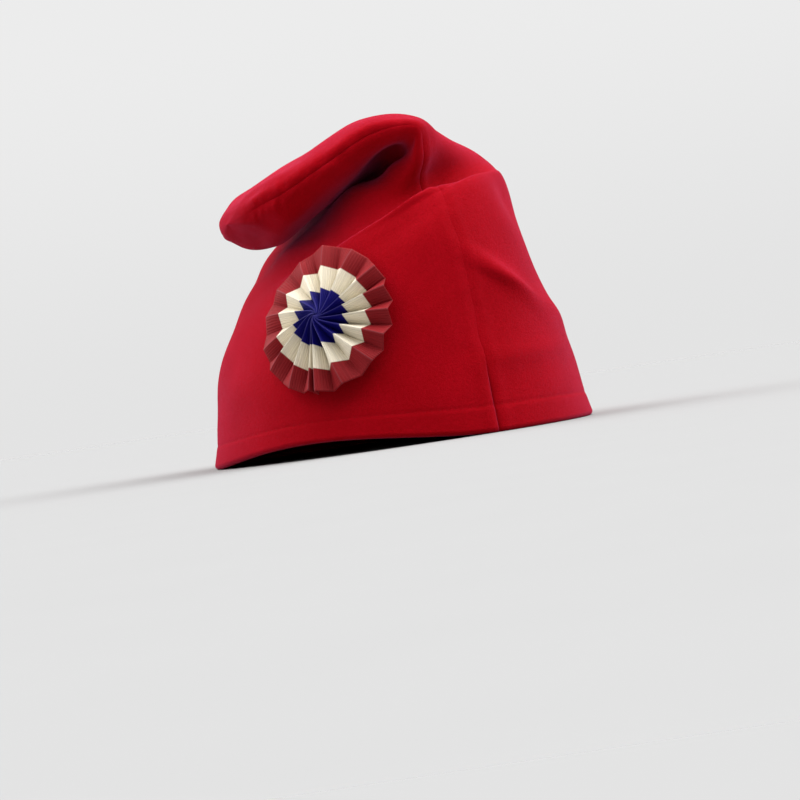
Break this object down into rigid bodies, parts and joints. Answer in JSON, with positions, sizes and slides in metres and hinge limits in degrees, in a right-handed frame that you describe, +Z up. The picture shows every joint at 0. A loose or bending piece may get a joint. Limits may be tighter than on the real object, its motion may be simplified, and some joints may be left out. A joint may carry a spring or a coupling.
{
  "type": "phrygian cap",
  "caption": "Soft red felt cap whose tall tip flops over to the wearer's right, with a pleated blue, white and red ribbon cockade on the front.",
  "frame": {"origin": "centre of the rim's box, on the surface that the rim rests on", "axes": "+Z up, -Y towards the face side with the front seam, +X towards the wearer's left; the tip falls towards -X"},
  "size_m": [0.1786, 0.194, 0.1503],
  "materials": {
    "felt": "soft red felt with a short nap",
    "ribbon": "grosgrain ribbon striped blue, white and red"
  },
  "bodies": {
    "root": {"left_panel": "felt", "right_panel": "felt", "cockade": "ribbon"}
  },
  "joints": []
}
